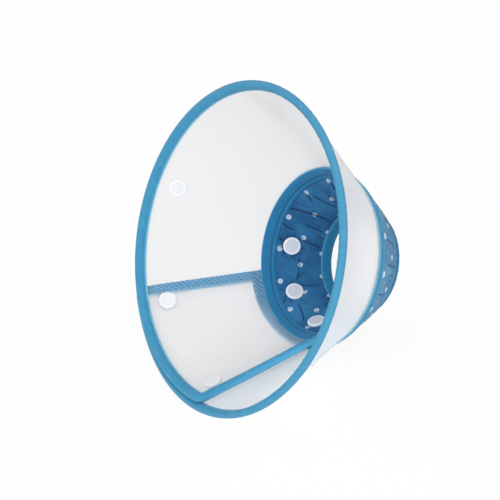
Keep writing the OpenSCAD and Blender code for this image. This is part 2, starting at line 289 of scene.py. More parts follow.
def tape_face(d, half_t, slot_h):
    """Height of a folded tape's face at distance d from its fold: a belly, a stitch groove, a lip."""
    nose = np.sqrt(np.clip(1 - (1 - np.minimum(d / half_t, 1)) ** 2, 0, 1))
    thin = 1 - THINNING * smooth(d, THIN_FROM * SPREAD_W, SPREAD_W)
    groove = GROOVE_DEPTH * np.exp(-(((d - SPREAD_W + STITCH_INSET) / GROOVE_W) ** 2))
    lip = LIP_DROP * smooth(d, SPREAD_W - LIP_W, SPREAD_W)
    return np.maximum(half_t * nose * thin - groove - lip, np.minimum(slot_h + WEAVE_T, half_t * nose))


def tape_rows(fold):
    """Rows round a folded tape: distance from its fold, side of the sheet, distance across it.

    The side is -1 on the inside face, 1 on the outside face and 0 in the slot for the sheet.
    """
    nose = NOSE_D * (1 - np.cos(np.radians(np.linspace(0, 90, NOSE_ROWS))))
    d = np.hstack([nose, np.linspace(NOSE_D, SPREAD_W, FACE_ROWS)[1:]])
    rows = np.hstack([d[::-1], d[1:], [SPREAD_W, fold, fold, SPREAD_W]])
    side = np.hstack([0 * d - 1, 0 * d[1:] + 1, np.zeros(4)])
    across = np.hstack([SPREAD_W - d[::-1], SPREAD_W + d[1:], 2 * SPREAD_W + np.arange(1, 5)])
    return rows, side, across


def tape_offsets(rows, side, inside_t, outside_t, slot_h):
    """Offsets from the sheet of a folded tape's rows, for half thicknesses along its path."""
    d = rows[:, None]
    inside = -tape_face(d, inside_t, slot_h)
    outside = tape_face(d, outside_t, slot_h)
    offsets = np.where(side[:, None] < 0, inside, outside)
    offsets[side == 0] = slot_h * np.array([1, 1, -1, -1])[:, None]
    return offsets


LOBE_FLAT = 3.2
LOBE_ROUND = 0.6


def lobe(s0, s1, n0, height, steps):
    """A soft ridge on the wall from s0 to s1, standing up from n0."""
    share = np.linspace(0, 1, steps)
    rise = (1 - np.abs(2 * share - 1) ** LOBE_FLAT) ** LOBE_ROUND
    return np.stack([s0 + (s1 - s0) * share, n0 + height * rise], -1)


def sweep_half(name, half, outline, inset, cols, change=None, across=None, marks=()):
    """A strip along the wall from the top line, open there, to the half's closed end.

    change moves its places, and each of the marks names a value that its points carry and works it out.
    """
    outline = np.asarray(outline, float)
    end = edge_turn(half, outline[:, 0], inset)
    share = np.linspace(0, 1, cols)
    t = TOP + (end - TOP)[:, None] * share
    s = outline[:, :1] + 0 * t
    n = outline[:, 1:] + 0 * t
    if change:
        s, n = change(t, s, n)
    places = above_floor(wall(t, s, n))
    uv = path_uv(places, lengths(outline) if across is None else across)
    obj = tube(name, places, uv, closed_end=cols - 1)
    for mark, values in marks:
        carry(obj, mark, values(t, s))
    return obj


# Materials


def linear(*srgb):
    """Colour from 0 to 255 sRGB to the linear values that shaders take."""
    c = np.array(srgb) / 255
    return (*np.where(c <= 0.04045, c / 12.92, ((c + 0.055) / 1.055) ** 2.4), 1.0)


class Nodes:
    """The node tree of a material or of the world, with short calls for the nodes that it uses."""

    def __init__(self, owner, shader="Principled BSDF"):
        owner.use_nodes = True
        self.tree = owner.node_tree
        self.shader = self.tree.nodes[shader]

    def put(self, socket, value):
        if isinstance(value, bpy.types.NodeSocket):
            self.tree.links.new(value, socket)
        else:
            socket.default_value = value

    def set(self, **values):
        for name, value in values.items():
            self.put(self.shader.inputs[name.replace("_", " ")], value)

    def new(self, kind, **settings):
        node = self.tree.nodes.new(kind)
        for name, value in settings.items():
            setattr(node, name, value)
        return node

    def math(self, operation, *values):
        node = self.new("ShaderNodeMath", operation=operation)
        for socket, value in zip(node.inputs, values):
            self.put(socket, value)
        return node.outputs[0]

    def ramp(self, value, low, high):
        """0 below low and 1 above high, smoothly between."""
        node = self.new("ShaderNodeMapRange", interpolation_type="SMOOTHSTEP")
        for socket, number in zip(node.inputs, (value, low, high, 0.0, 1.0)):
            self.put(socket, number)
        return node.outputs[0]

    def mix(self, share, first, second):
        node = self.new("ShaderNodeMix", data_type="RGBA")
        colours = [socket for socket in node.inputs if socket.type == "RGBA"]
        self.put(node.inputs[0], share)
        self.put(colours[0], first)
        self.put(colours[1], second)
        return next(socket for socket in node.outputs if socket.type == "RGBA")

    def metric(self):
        """The map in millimetres: along the piece and across it."""
        node = self.new("ShaderNodeUVMap", uv_map="metric")
        split = self.new("ShaderNodeSeparateXYZ")
        self.put(split.inputs[0], node.outputs[0])
        return split.outputs[0], split.outputs[1]

    def own(self, name):
        """A value that the mesh carries at its points."""
        return self.new("ShaderNodeAttribute", attribute_name=name).outputs["Fac"]

    def noise(self, scale, detail=3.0):
        node = self.new("ShaderNodeTexNoise")
        self.put(node.inputs["Vector"], self.new("ShaderNodeTexCoord").outputs["Object"])
        self.put(node.inputs["Scale"], scale)
        self.put(node.inputs["Detail"], detail)
        return node.outputs[0]

    def wave(self, value, pitch):
        """A sine of a distance, from 0 to 1."""
        turn = self.math("SINE", self.math("MULTIPLY", value, 2 * math.pi / pitch))
        return self.math("MULTIPLY_ADD", turn, 0.5, 0.5)

    def bump(self, height, distance):
        node = self.new("ShaderNodeBump")
        node.inputs["Distance"].default_value = distance * MM
        self.put(node.inputs["Height"], height)
        self.set(Normal=node.outputs[0])

    def mix_in(self, share, kind, colour):
        """Shows another shader of the given kind and colour in place of a share of the material."""
        other = self.new(kind)
        other.inputs[0].default_value = colour
        mix = self.new("ShaderNodeMixShader")
        for socket, value in zip(mix.inputs, (share, self.shader.outputs[0], other.outputs[0])):
            self.put(socket, value)
        self.put(self.tree.nodes["Material Output"].inputs[0], mix.outputs[0])

    def rays(self, *kinds):
        """1 for rays of any of the given kinds."""
        path = self.new("ShaderNodeLightPath")
        first, *others = (path.outputs[f"Is {kind} Ray"] for kind in kinds)
        for other in others:
            first = self.math("MAXIMUM", first, other)
        return first


def new_material(name):
    material = bpy.data.materials.new(name)
    return material, Nodes(material)


# Roughness and clearness of the film by itself, and where tape lies against it
SHEET_FROST = (0.95, 0.2)
SHEET_CLEAR = (0.87, 0.95)
SHEET_COLOURS = ((237, 237, 238), (241, 241, 241))

# From the top line down to the lap the film is milkier, and its colour there is painted lighter to brighten
# the near wall;
# near the lap it has a painted bluish shade: how clear it is there, its colours, and the angles at which
# that comes and goes
MILKY_CLEAR = 0.72
MILKY_PAINTED_LIGHT_COLOURS = ((241, 241, 242), (245, 245, 245))
COOL_SHADE_COLOUR = (240, 243, 246)
MILKY_FROM = (-212, -172)
COOL_SHADE_FROM = (-130, -90)
MILKY_TO = (-45, -25)

# How much of a lamp's light the film lets through
LAMP_SHARE = 0.9


def sheet_material():
    """Frosted film: what lies far behind it blurs to white, and it clears where it carries "touch"."""
    material, m = new_material("frosted_sheet")
    cloud = m.noise(9.0, 2.0)
    touch, milky_painted_light = m.own("touch"), m.own("milky_painted_light")
    frost = m.math("MULTIPLY_ADD", touch, SHEET_FROST[1] - SHEET_FROST[0], SHEET_FROST[0])
    clear = m.math("MULTIPLY_ADD", milky_painted_light, MILKY_CLEAR - SHEET_CLEAR[0], SHEET_CLEAR[0])
    clear = m.math("MULTIPLY_ADD", touch, SHEET_CLEAR[1] - SHEET_CLEAR[0], clear)
    plain, milky_painted_lighter = (
        m.mix(cloud, *(linear(*c) for c in colours)) for colours in (SHEET_COLOURS, MILKY_PAINTED_LIGHT_COLOURS)
    )
    # Base colour: painted lighter where the film is milky, and a painted bluish shade near the lap
    m.set(
        Base_Color=m.mix(m.own("cool_painted_shade"), m.mix(milky_painted_light, plain, milky_painted_lighter), linear(*COOL_SHADE_COLOUR)),
        Roughness=m.math("MULTIPLY_ADD", m.noise(60.0), 0.05, frost),
        IOR=1.14,
        Transmission_Weight=clear,
    )
    m.bump(m.noise(240.0, 2.0), 0.02)
    m.mix_in(m.rays("Shadow"), "ShaderNodeBsdfTransparent", (LAMP_SHARE, LAMP_SHARE, LAMP_SHARE, 1))
    return material


# What tapes and cotton share
FABRIC = dict(Specular_IOR_Level=0.25, Sheen_Weight=0.1)

# Fine ribs of a tape, and wide slanted ones on the faces that lie in the lap
RIB_PITCH = 1.3
TWILL_PITCH = 3.4
TWILL_COLOURS = ((22, 96, 142), (76, 172, 214))

# How far a tape is painted lighter along its edges, as a painted highlight, and where it is worn
EDGE_HIGHLIGHT = 0.75
EDGE_HIGHLIGHT_SOFT = 0.5
WORN_PALE = 0.08
FOLD_WEAR = (0.2, 1.2)


def tape_material(name, colours, rib_depth, edges, twill_slant):
    """Woven tape with fine ribs, a little fuzz, and a painted highlight that makes it lighter outside of two
    lines near its edges.

    Where the piece carries "twill", wide slanted ribs show instead.
    """
    dark, body, edge = (linear(*c) for c in colours)
    material, m = new_material(name)
    along, across = m.metric()
    ribs = m.wave(along, RIB_PITCH)
    threads = m.wave(m.math("MULTIPLY_ADD", across, -2.6, along), 0.62)
    fuzz = m.noise(900.0, 2.0)
    patches = m.noise(140.0, 4.0)
    weave = m.math("MULTIPLY", m.math("MULTIPLY_ADD", threads, 0.3, ribs), 0.77)
    tint = m.math("ADD", m.math("MULTIPLY", weave, 0.7), m.math("MULTIPLY", patches, 0.3))
    colour = m.mix(tint, dark, body)
    first, last = (m.ramp(across, at - EDGE_HIGHLIGHT_SOFT, at + EDGE_HIGHLIGHT_SOFT) for at in edges)
    edge_highlight = m.math("MAXIMUM", m.math("SUBTRACT", 1.0, first), last)
    fold = m.math("ABSOLUTE", m.math("SUBTRACT", across, sum(edges) / 2))
    worn = m.math("SUBTRACT", 1.0, m.ramp(fold, *FOLD_WEAR))
    worn = m.math("MULTIPLY", m.math("ADD", worn, m.ramp(patches, 0.55, 0.75)), WORN_PALE)
    # edge is the paler colour, used for the painted highlight along the edges and for the wear
    colour = m.mix(m.math("MAXIMUM", m.math("MULTIPLY", edge_highlight, EDGE_HIGHLIGHT), worn), colour, edge)
    twill = m.wave(m.math("MULTIPLY_ADD", across, twill_slant, along), TWILL_PITCH)
    slanted = m.mix(twill, *(linear(*c) for c in TWILL_COLOURS))
    colour = m.mix(m.own("twill"), colour, slanted)
    m.set(
        Base_Color=colour,
        Roughness=m.math("MULTIPLY_ADD", fuzz, 0.2, 0.72),
        Sheen_Roughness=0.5,
        **FABRIC,
    )
    m.bump(m.math("MULTIPLY_ADD", fuzz, 0.35, weave), rib_depth)
    return material


# Printed dots: their radius, the steps of their staggered rows, where one of them lies, and their edge
DOT_R = 1.8
DOT_PITCH = (22.0, 30.0)
DOT_AT = (math.radians(-259) * wall_r(BAND_MID), 101.0)
DOT_SOFT = 0.5
DOT_RIM = (0.9, 0.2)
DOT_RIM_COLOUR = (225, 236, 243)

# Threads of the cotton
COTTON_PITCH = 0.55


def dotted_fabric(name, colours, dot):
    """Fine woven cotton with staggered rows of printed dots, and painted shade in its creases."""
    crease_shade_colour, dark, light = (linear(*c) for c in colours)
    material, m = new_material(name)
    along, across = m.metric()

    def lattice(shift):
        parts = []
        for value, step, start in zip((along, across), DOT_PITCH, DOT_AT):
            cell = m.math("FRACT", m.math("MULTIPLY_ADD", value, 1 / step, shift - start / step))
            part = m.math("MULTIPLY", m.math("SUBTRACT", cell, 0.5), step)
            parts.append(m.math("MULTIPLY", part, part))
        return m.math("SQRT", m.math("ADD", *parts))

    distance = m.math("MINIMUM", lattice(0.5), lattice(1.0))
    wobble = m.math("MULTIPLY_ADD", m.noise(700.0), 0.5, distance)
    inside = m.math("SUBTRACT", 1.0, m.ramp(wobble, DOT_R, DOT_R + DOT_SOFT))
    rim = m.math("MULTIPLY", inside, m.ramp(wobble, *(DOT_R - d for d in DOT_RIM)))
    weave = m.math("MULTIPLY", m.wave(along, COTTON_PITCH), m.wave(across, COTTON_PITCH))
    # Lighter and darker patches: partly random tone and partly painted sheen highlights
    cloud = m.ramp(m.noise(45.0, 4.0), 0.3, 0.7)
    tint = m.math("MULTIPLY_ADD", cloud, 0.8, m.math("MULTIPLY", weave, 0.25))
    colour = m.mix(tint, dark, light)
    colour = m.mix(m.math("MULTIPLY", inside, 0.85), colour, linear(*dot))
    colour = m.mix(m.math("MULTIPLY", rim, 0.3), colour, linear(*DOT_RIM_COLOUR))
    # Painted shade along the creases
    colour = m.mix(m.math("MULTIPLY", m.own("crease_shade"), 0.9), colour, crease_shade_colour)
    m.set(
        Base_Color=colour,
        Roughness=m.math("MULTIPLY_ADD", weave, 0.15, 0.72),
        Sheen_Roughness=0.45,
        **FABRIC,
    )
    m.bump(m.math("MULTIPLY_ADD", m.noise(1400.0, 2.0), 0.5, weave), 0.05)
    return material


# Moulded caps: how dark their flow marks are, and where the painted highlight on their rounded edge begins,
# from the rim inward
FLOW_SHADE = 0.94
CAP_HIGHLIGHT = (1.5, 0.9)


def snap_material(name, face, ring):
    """Moulded plastic, a little glossy, with a faint flow pattern and a painted highlight on its rounded
    edge.
    """
    material, m = new_material(name)
    flow = m.noise(120.0, 2.0)
    shade = tuple(v * FLOW_SHADE for v in face)
    body = m.mix(flow, linear(*shade), linear(*face))
    # The rounded edge takes the ring colour as a painted highlight
    edge = m.ramp(m.own("radius"), *(CAP_D / 2 - d for d in CAP_HIGHLIGHT))
    m.set(
        Base_Color=m.mix(edge, body, linear(*ring)),
        Roughness=m.math("MULTIPLY_ADD", m.noise(420.0), 0.1, 0.3),
        Coat_Weight=0.1,
        Coat_Roughness=0.15,
    )
    m.bump(m.noise(700.0, 2.0), 0.004)
    return material


def thread_material():
    """Twisted sewing thread."""
    material, m = new_material("thread")
    along, across = m.metric()
    twist = m.wave(m.math("ADD", along, across), 0.5)
    m.set(
        Base_Color=m.mix(twist, linear(40, 122, 166), linear(66, 156, 196)),
        Roughness=m.math("MULTIPLY_ADD", twist, 0.2, 0.5),
        Sheen_Weight=0.1,
    )
    m.bump(twist, 0.05)
    return material


# Lines that bound a tape's painted highlight along its edges, and how steep its wide ribs slant
HIGHLIGHT_EDGE_W = 1.1
BINDING_LINES = dict(edges=(HIGHLIGHT_EDGE_W, 2 * SPREAD_W - HIGHLIGHT_EDGE_W), twill_slant=1.1)
SEAM_LINES = dict(edges=(0.8, 14.6), twill_slant=1.4)

SHEET = sheet_material()
BINDING = tape_material(
    "binding_tape", ((46, 124, 166), (74, 160, 198), (142, 203, 225)), 0.06, **BINDING_LINES
)
NECK_BINDING = tape_material(
    "neck_tape", ((18, 98, 142), (36, 126, 168), (104, 172, 204)), 0.06, **BINDING_LINES
)
SEAM = tape_material("seam_tape", ((19, 90, 136), (42, 130, 176), (92, 168, 206)), 0.08, **SEAM_LINES)
PIPING = tape_material("seam_piping", ((36, 112, 154), (78, 156, 192), (130, 192, 216)), 0.06, **SEAM_LINES)
# The first colour of each cotton is the painted shade in its creases
LINING = dotted_fabric("lining_cotton", ((8, 40, 76), (20, 77, 124), (48, 120, 168)), (176, 202, 220))
COVER = dotted_fabric("cover_cotton", ((28, 68, 104), (54, 110, 150), (86, 148, 184)), (216, 230, 238))
RIM_SNAP_PLASTIC = snap_material("rim_snap_plastic", (235, 236, 239), (242, 242, 245))
# The neck caps are the same plastic as the rim caps; their greyer face is painted shade
NECK_SNAP_PLASTIC_SHADED = snap_material("neck_snap_plastic_painted_shade", (208, 213, 224), (244, 245, 248))
THREAD = thread_material()


# Pieces


def dress(obj, material, half=None, body=None, replaces=()):
    """Gives a piece its material and its place on the moving bodies."""
    obj.data.materials.append(material)
    if half:
        middle = Vector(RIM_CENTRE) * MM
        reach = UP * BEND_HALF * MM * half["way"]
        first, last = half["bodies"]
        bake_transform(obj, first, last, start=middle - reach, end=middle + reach)
    else:
        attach(obj, body)
    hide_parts(*replaces)


def panel_nodes(side, *kinds):
    """The nodes that a half's piece stands for: its own panel's and the crown's."""
    return [f"{panel}_{kind}" for panel in (side, "crown") for kind in kinds]


# Seam tapes: two ridges with a groove between them. The outer flap's tape lies askew in the lap.

SEAM_GROOVE = 95.2
PIPE_END = 98.9
PIPE_MIDDLE = SEAM_START + 0.45 * SEAM_W
SEAM_INSET = 2.0
SEAM_COLS = 300
SEAM_WAVES = 0.03
SEAM_SKEW = 3.5
SKEW_TURNS = (-30, 25)
SEAM_TOUCH = 2.0
SEAM_LAP = (-45, -15)

# Film: its rows and columns, and how it clears where tapes lie against it

SHEET_ROWS = 70
SHEET_COLS = 420
TOUCH_SOFT = 1.0
TOUCH_LOSS = 0.7
TOUCH_FADE = (10, 45)


def between(start, end):
    """A mark that comes over the angles start and goes over the angles end."""
    return lambda t, s: smooth(t, *start) * (1 - smooth(t, *end))


def lap_touch(t, s):
    """1 on the inner flap's film where the outer flap's end tape and seam tape lie against it."""
    depth = np.clip(s + LAP_SLIDE, 0, SEAM_END)
    middle = edge_turn(HALVES["outer"], depth, TAPE_W / 2) + TURN
    past = np.radians(t - middle) * wall_r(s)
    end_tape = 1 - smooth(np.abs(past), TAPE_W / 2 - TOUCH_SOFT, TAPE_W / 2 + TOUCH_SOFT)
    seam_tape = smooth(depth, SEAM_START - 2 * SEAM_SKEW, SEAM_START - SEAM_SKEW)
    seam_tape = seam_tape * smooth(-past, -TAPE_W, 0) * (1 - TOUCH_LOSS * smooth(-past, *TOUCH_FADE))
    return np.maximum(end_tape, seam_tape)


def make_sheet(side, half):
    h = SHEET_T / 2
    s = np.linspace(FOLD + FIT, SHEET_END, SHEET_ROWS)
    outline = np.concatenate([np.stack([s, 0 * s - h], -1), np.stack([s, 0 * s + h], -1)[::-1]])
    corner_r = CORNER_R - FOLD
    inside_corner = np.clip(1 - (outline[:, 0] - FOLD) / corner_r, 0, 1)
    inset = FOLD + corner_r * (1 - np.sqrt(1 - inside_corner**2))
    marks = [("milky_painted_light", between(MILKY_FROM, MILKY_TO))]
    # The outer film carries a painted bluish shade near the lap
    marks += [("touch", lap_touch) if side == "inner" else ("cool_painted_shade", between(COOL_SHADE_FROM, MILKY_TO))]
    obj = sweep_half(f"clear_sheet_{side}", half, outline, inset, SHEET_COLS, marks=marks)
    dress(obj, SHEET, half=half, replaces=panel_nodes(side, "sheet"))


# Binding on the rim and the straight ends: its path, and its half thickness on each face.
# The flaps' tapes press flat where they meet in the lap.

RIM_STEPS = 420
CORNER_STEPS = 16
END_STEPS = 150
PUFF_INSIDE = 3.3
PUFF_OUTSIDE = 2.0
LAP_INSIDE = 2.3
END_INSIDE = 3.0
END_OUTSIDE = 1.8
SEAM_COVER = 2.1
PRESSED = 7.5
LAP_TOUCH = 4.0
LEAST_TURN = 0.4
TAPE_WAVES = 0.05
NECK_COLS = 200
END_BEGINS = (1.5 * TAPE_W, 3 * TAPE_W)
SEAM_BEGINS = (SEAM_START - 5, SEAM_START - 1)


def binding_path(half, d):
    """Angles and depths at distance d inside the edge: along the rim, round the corner, up the end."""
    reach = max(CORNER_R - d, LEAST_TURN)
    corner = float(edge_turn(half, d, d))
    r = wall_r(d) + half["lift"]
    rim_t = np.linspace(TOP, corner - half["way"] * math.degrees(reach / r), RIM_STEPS)
    end_s = np.linspace(d + reach, BAND_END, END_STEPS)
    end_t = edge_turn(half, end_s, d)
    share = np.linspace(0, 1, CORNER_STEPS + 2)[1:-1]
    weights = ((1 - share) ** 2, 2 * share * (1 - share), share**2)
    turn_t = weights[0] * rim_t[-1] + weights[1] * corner + weights[2] * end_t[0]
    turn_s = weights[0] * d + weights[1] * d + weights[2] * end_s[0]
    return np.hstack([rim_t, turn_t, end_t]), np.hstack([rim_t * 0 + d, turn_s, end_s])


def binding_thickness(side, t, s):
    """Half thicknesses of the binding along its path, on its inside and its outside face."""
    on_end = np.arange(len(s)) >= RIM_STEPS
    end = smooth(s, *END_BEGINS) * on_end
    seam = smooth(s, *SEAM_BEGINS) * on_end
    rim_inside = PUFF_INSIDE + 0 * s
    end_inside = END_INSIDE
    if side == "outer":
        rim_inside += (LAP_INSIDE - PUFF_INSIDE) * smooth(t, *LAP_TURNS)
        end_inside = PRESSED
    inside = rim_inside + (end_inside - rim_inside) * end
    outside = PUFF_OUTSIDE + (END_OUTSIDE - PUFF_OUTSIDE) * end
    return inside + (SEAM_COVER - inside) * seam, outside + (SEAM_COVER - outside) * seam


def pucker(u):
    """Small uneven waves that the sewing draws into a tape, from -1 to 1."""
    middling = 0.5 * np.sin(u * 2 * np.pi / 5.3)
    long = 0.3 * np.sin(u * 2 * np.pi / 8.9 + 1)
    short = 0.2 * np.sin(u * 1.9)
    return middling + long + short


def make_binding(side, half):
    rows, face, across = tape_rows(FOLD)
    paths = [binding_path(half, d) for d in rows]
    t = np.array([p[0] for p in paths])
    s = np.array([p[1] for p in paths])
    middle = int(np.argmin(rows))
    u = lengths(wall(t[middle], s[middle])) / MM
    waves = 1 + TAPE_WAVES * pucker(u)
    inside, outside = (v * waves for v in binding_thickness(side, t[middle], s[middle]))
    n = tape_offsets(rows, face, inside, outside, SHEET_T / 2 + FIT)
    places = above_floor(wall(t, s, np.maximum(n, -LAP_TOUCH)))
    obj = tube(f"binding_{side}", places, path_uv(places, across), closed_end=t.shape[1] - 1)
    if side == "outer":
        pressed = smooth(inside, PUFF_INSIDE, PRESSED) * smooth(rows, 1.0, NOSE_D)[:, None]
        carry(obj, "twill", np.where(face[:, None] < 0, pressed, 0))
    nodes = panel_nodes(side, "rim_tape") + [f"{side}_end_tape", f"{side}_band_end_tape"]
    dress(obj, BINDING, half=half, replaces=nodes)


def make_seam_tapes(side, half):
    h = SHEET_T / 2 + FIT
    height = TAPE_H - h
    inside = np.concatenate([
        lobe(SEAM_START, SEAM_GROOVE, -h, -height, 17),
        lobe(SEAM_GROOVE, PIPE_END, -h, -height * 1.02, 11)[1:],
    ])

    def ripple(t, s, n):
        u = np.radians(t) * wall_r(SEAM_START)
        return s, n * (1 + SEAM_WAVES * pucker(u))

    def lapped(t, s, n):
        """The outer flap's tape runs a little askew and touches the sheet that it laps."""
        s, n = ripple(t, s, n)
        edge = np.clip(1 - (s - SEAM_START) / (SEAM_GROOVE - SEAM_START), 0, 1)
        lap = smooth(t, *SEAM_LAP)
        touch = lap * SEAM_TOUCH * smooth(edge, 0.55, 0.9) * smooth(-n, h, h + 0.5)
        return s - SEAM_SKEW * edge * smooth(t, *SKEW_TURNS), n - touch

    change = lapped if side == "outer" else ripple
    marks = [("twill", lambda t, s: smooth(t, *SEAM_LAP))] if side == "outer" else []
    obj = sweep_half(f"seam_tape_inside_{side}", half, inside, SEAM_INSET, SEAM_COLS, change, marks=marks)
    dress(obj, SEAM, half=half, replaces=panel_nodes(side, "seam_tape_inside"))
    outside = np.concatenate([
        lobe(SEAM_START, PIPE_MIDDLE, h, height * 0.9, 11),
        lobe(PIPE_MIDDLE, PIPE_END, h, height * 1.3, 11)[1:],
    ])
    obj = sweep_half(f"seam_tape_outside_{side}", half, outside, SEAM_INSET, SEAM_COLS, ripple)
    dress(obj, PIPING, half=half, replaces=panel_nodes(side, "seam_tape_outside"))


def make_neck_tape(side, half):
    rows, face, across = tape_rows(NECK_FOLD)
    even = np.array([TAPE_H])
    n = tape_offsets(rows, face, even, even, NECK_GRIP / 2 + FIT)
    outline = np.stack([WALL_DEPTH - rows, n[:, 0]], -1)

    def land(t, s, n):
        u = np.radians(t) * wall_r(WALL_DEPTH)
        lowest = (NECK_R - wall_r(s)) / COS
        return s, np.maximum(n * (1 + TAPE_WAVES * pucker(u)), lowest)

    obj = sweep_half(f"neck_tape_{side}", half, outline, 0.0, NECK_COLS, land, across)
    dress(obj, NECK_BINDING, half=half, replaces=panel_nodes(side, "neck_tape"))


def snap_angles():
    outer = HALVES["outer"]
    s = RIM_SNAP_DEPTH + LAP_SLIDE
    rim = float(edge_turn(outer, s)) - math.degrees(SNAP_INSET / (wall_r(s) + SPIRAL))
    s = NECK_SNAP_DEPTH + LAP_SLIDE
    inset = SNAP_INSET + NECK_SNAP_INSET
    neck = float(plane_turn(outer, SEAM_END, 0.0)) - math.degrees(inset / (wall_r(s) + SPIRAL))
    return rim, neck


RIM_SNAP, NECK_SNAP = snap_angles()
RIM_SNAPS = [RIM_SNAP + i * RIM_SNAP_PITCH + TURN for i in (-1, 0, 1)]
NECK_SNAPS = [NECK_SNAP + i * NECK_SNAP_PITCH + TURN for i in (-1, 0, 1)]
NECK_STUD = (NECK_SNAP, NECK_SNAP_DEPTH + LAP_SLIDE)
NECK_SPOTS = [(turn, NECK_SNAP_DEPTH) for turn in NECK_SNAPS] + [NECK_STUD]


# The padded neck band: lining and cover are puffed by a cloth simulation, then creased

BAND_FIRST = PIPE_END - 0.4
BAND_LAST = BAND_END + 0.6
BAND_INSET = 3.0
BAND_ROWS = 30
BAND_COLS = 170
TUCK_H = 0.55
TUCK_L = 1.1
DIMPLE_R = 6.6
DIMPLE_EDGE = 10.0
SIM_SCALE = 10.0
SIM_FRAMES = 24
PUFF_FORCE = 5.0
PUFF_CAP = 1.2
SEAT_GAP = 0.02

# Axes along which the puffed grid is doubled, and how far its creases keep from caps and edges
DOUBLED = (0, 1, 1)
CAP_CLEAR = 0.6
EDGE_CLEAR = 1.5


def puff(s):
    """Half thickness of the band: it is tucked in along the seam and the neck tape."""
    edge = np.minimum(s - BAND_FIRST, BAND_END - s)
    return TUCK_H + (BAND_T / 2 - TUCK_H) * (1 - np.exp(-np.maximum(edge, 0) / TUCK_L))


def band_grid():
    """Angles and depths of the band's face, from the outer end over the top to the inner end."""
    s = np.linspace(BAND_FIRST, BAND_LAST, BAND_ROWS)
    share = np.linspace(0, 1, BAND_COLS)
    runs = [TOP + (edge_turn(half, s, BAND_INSET) - TOP)[:, None] * share for half in HALVES.values()]
    t = np.concatenate([runs[0][:, ::-1], runs[1][:, 1:]], 1)
    return t, s[:, None] + 0 * t


def snap_distance(t, s):
    """Distance to the nearest neck snap along the wall, in millimetres."""
    near = np.full(t.shape, np.inf)
    for turn, depth in NECK_SPOTS:
        along = np.radians(t - turn) * (wall_r(s) + lift(t))
        near = np.minimum(near, np.hypot(along, s - depth))
    return near


def simulate(places, pinned, rest, force):
    """Lets a sheet of fabric, longer than its place, puff up and buckle between its pinned points."""
    rows, cols = pinned.shape
    faces = np.stack([j * cols + i for j, i in quads(rows - 1, cols - 1)], -1).reshape(-1, 4)
    mesh = bpy.data.meshes.new("band_cloth")
    mesh.from_pydata((places * SIM_SCALE).reshape(-1, 3).tolist(), [], faces.tolist())
    obj = link("band_cloth", mesh)
    obj.shape_key_add(name="Basis")
    key = obj.shape_key_add(name="rest")
    key.data.foreach_set("co", (rest * SIM_SCALE).astype(np.float32).ravel())
    group = obj.vertex_groups.new(name="pin")
    group.add(np.flatnonzero(pinned.ravel()).tolist(), 1.0, "REPLACE")
    cloth = obj.modifiers.new("Cloth", "CLOTH")
    settings = cloth.settings
    settings.rest_shape_key = key
    settings.vertex_group_mass = "pin"
    settings.quality = 6
    settings.mass = 0.2
    settings.tension_stiffness = settings.compression_stiffness = 15
    settings.shear_stiffness = 4
    settings.bending_stiffness = 0.3
    settings.air_damping = 2
    settings.use_pressure = True
    settings.uniform_pressure_force = force
    settings.effector_weights.gravity = 0
    cloth.collision_settings.use_collision = False
    scene = bpy.context.scene
    cloth.point_cache.frame_start = 1
    cloth.point_cache.frame_end = SIM_FRAMES
    for number in range(1, SIM_FRAMES + 1):
        scene.frame_set(number)
    evaluated = obj.evaluated_get(bpy.context.evaluated_depsgraph_get())
    found = np.empty(rows * cols * 3, np.float32)
    evaluated.data.vertices.foreach_get("co", found)
    bpy.data.objects.remove(obj)
    scene.frame_set(1)
    return found.reshape(rows, cols, 3).astype(float) / SIM_SCALE


def puffed_face(facing, spare):
    """The lining (facing -1) or the cover (1) as a grid of angles, depths and places."""
    t, s = band_grid()
    near = snap_distance(t, s)
    seat = NECK_GRIP / 2 + SEAT_GAP
    height = seat + (puff(s) - seat) * smooth(near, DIMPLE_R, DIMPLE_EDGE)
    pinned = near < DIMPLE_R
    pinned[:2] = pinned[-2:] = True
    pinned[:, :2] = pinned[:, -2:] = True
    base = wall(t, s, facing * height)
    rho = (wall_r(s) / SIN) * MM
    row = BAND_ROWS // 2
    step = np.diff(t[row], prepend=t[row, :1])
    stretch = 1 + lift(t[row]) / wall_r(BAND_MID)
    theta = np.cumsum(np.radians(step) * stretch) * SIN * (1 + spare)
    rest = np.stack([rho * np.cos(theta), rho * np.sin(theta), 0 * rho], -1)
    move = simulate(base, pinned, rest, facing * PUFF_FORCE) - base
    size = np.linalg.norm(move, axis=-1, keepdims=True)
    return t, s, base + move * np.minimum(1, PUFF_CAP * MM / np.maximum(size, 1e-12))


def refine(grid, axes):
    """Doubles a grid along each of the axes with smooth curves through its points."""
    for axis in axes:
        points = np.moveaxis(grid, axis, 0)
        before = 2 * points[:1] - points[1:2]
        after = 2 * points[-1:] - points[-2:-1]
        run = np.concatenate([before, points, after])
        fine = np.empty((2 * len(points) - 1,) + points.shape[1:])
        fine[::2] = points
        fine[1::2] = (9 * (run[1:-2] + run[2:-1]) - run[:-3] - run[3:]) / 16
        grid = np.moveaxis(fine, 0, axis)
    return grid


# Creases in the lining near the snaps: angle and depth of each end, bow and depth of the fold
LINING_CREASES = [
    (80, 97, 89, 131, 1.5, 1.1),
    (103, 106, 110, 127, -1.0, 0.9),
    (99, 97, 97, 110, 1.0, 0.8),
    (69, 97, 66, 110, -1.0, 0.8),
    (73, 114, 72, 129, 1.0, 0.8),
    (57, 97, 54, 104, 0.0, 0.9),
    (58, 116, 53, 131, 1.0, 1.0),
    (66, 125, 65, 132, 0.0, 0.8),
    (42, 115, 18, 111, 2.0, 0.8),
    (28, 118, 21, 112, 0.0, 0.7),
    (17, 115, 12, 129, -1.5, 1.0),
    (8, 102, -1, 97, 0.0, 0.8),
    (-3, 108, -24, 102, 1.5, 0.9),
    (-14, 112, -18, 130, 1.0, 0.8),
]

